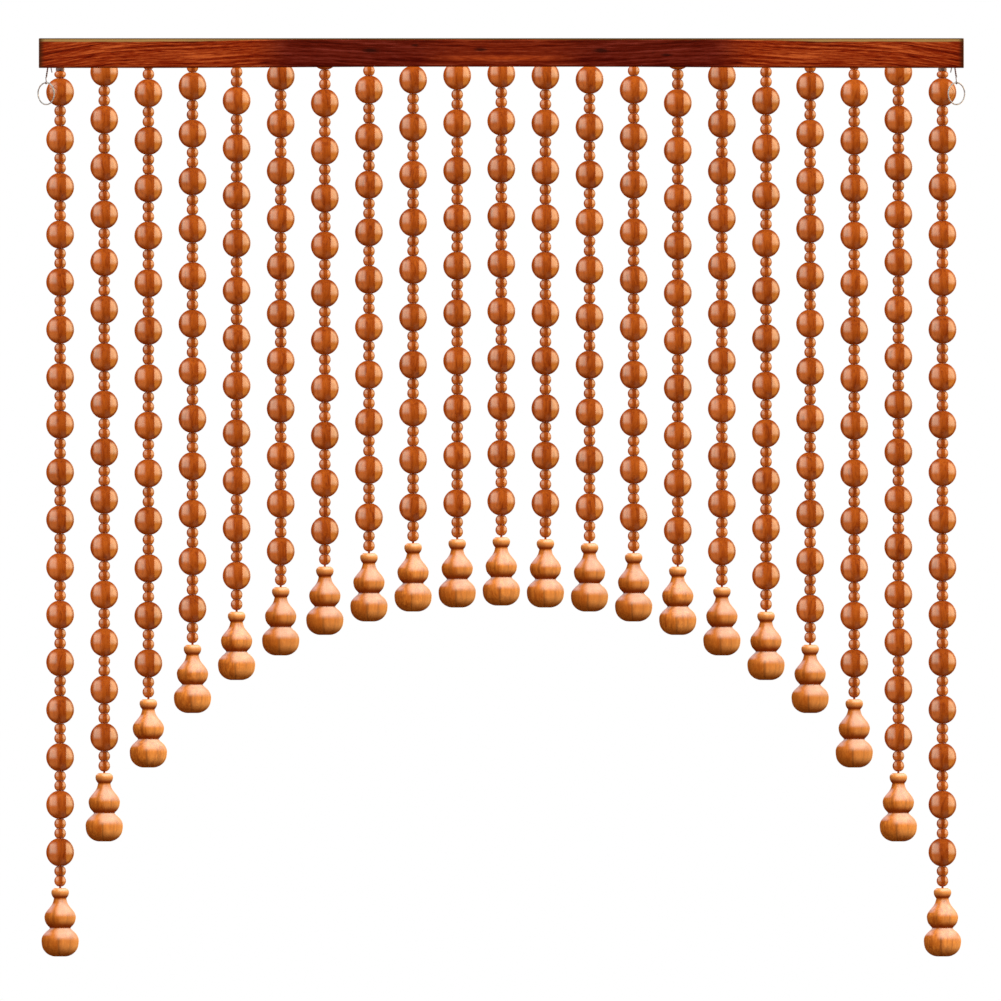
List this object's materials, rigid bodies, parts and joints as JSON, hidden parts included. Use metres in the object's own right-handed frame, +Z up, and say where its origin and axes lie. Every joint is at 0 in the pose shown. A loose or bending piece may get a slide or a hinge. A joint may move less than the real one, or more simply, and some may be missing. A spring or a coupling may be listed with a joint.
{
  "type": "bead curtain on a wooden rail",
  "caption": "Wooden bead curtain: round beads strung straight down from a grooved hardwood rail, each strand ending in a turned gourd pendant, their feet following an arch.",
  "frame": {"origin": "centre of the rail's flat top face, where it meets what holds it up", "axes": "+Z up, out of the rail's top face; +X along the rail to the right as seen from the front; -Y to the front, +Y out of the rail's back face"},
  "size_m": [0.6638, 0.0306, 0.6571],
  "materials": {
    "rosewood": "satin lacquered dark red hardwood with long streaked grain, worn lighter along its top edge",
    "bead_wood": "glossy lacquered orange-brown hardwood with fine pores",
    "gourd_wood": "satin lacquered tan hardwood with upright grain lines",
    "steel_wire": "bare grey steel wire",
    "dark_metal": "dark tarnished sheet metal"
  },
  "bodies": {
    "root": {"rail": "rosewood", "strand_01": "bead_wood", "strand_02": "bead_wood", "strand_03": "bead_wood", "strand_04": "bead_wood", "strand_05": "bead_wood", "strand_06": "bead_wood", "strand_07": "bead_wood", "strand_08": "bead_wood", "strand_09": "bead_wood", "strand_10": "bead_wood", "strand_11": "bead_wood", "strand_12": "bead_wood", "strand_13": "bead_wood", "strand_14": "bead_wood", "strand_15": "bead_wood", "strand_16": "bead_wood", "strand_17": "bead_wood", "strand_18": "bead_wood", "strand_19": "bead_wood", "strand_20": "bead_wood", "strand_21": "bead_wood", "gourd_01": "gourd_wood", "gourd_02": "gourd_wood", "gourd_03": "gourd_wood", "gourd_04": "gourd_wood", "gourd_05": "gourd_wood", "gourd_06": "gourd_wood", "gourd_07": "gourd_wood", "gourd_08": "gourd_wood", "gourd_09": "gourd_wood", "gourd_10": "gourd_wood", "gourd_11": "gourd_wood", "gourd_12": "gourd_wood", "gourd_13": "gourd_wood", "gourd_14": "gourd_wood", "gourd_15": "gourd_wood", "gourd_16": "gourd_wood", "gourd_17": "gourd_wood", "gourd_18": "gourd_wood", "gourd_19": "gourd_wood", "gourd_20": "gourd_wood", "gourd_21": "gourd_wood", "ring_left": "steel_wire", "link_left": "steel_wire", "wire_end_left": "steel_wire", "cap_left": "dark_metal", "ring_right": "steel_wire", "link_right": "steel_wire", "wire_end_right": "steel_wire", "cap_right": "dark_metal"}
  },
  "joints": []
}
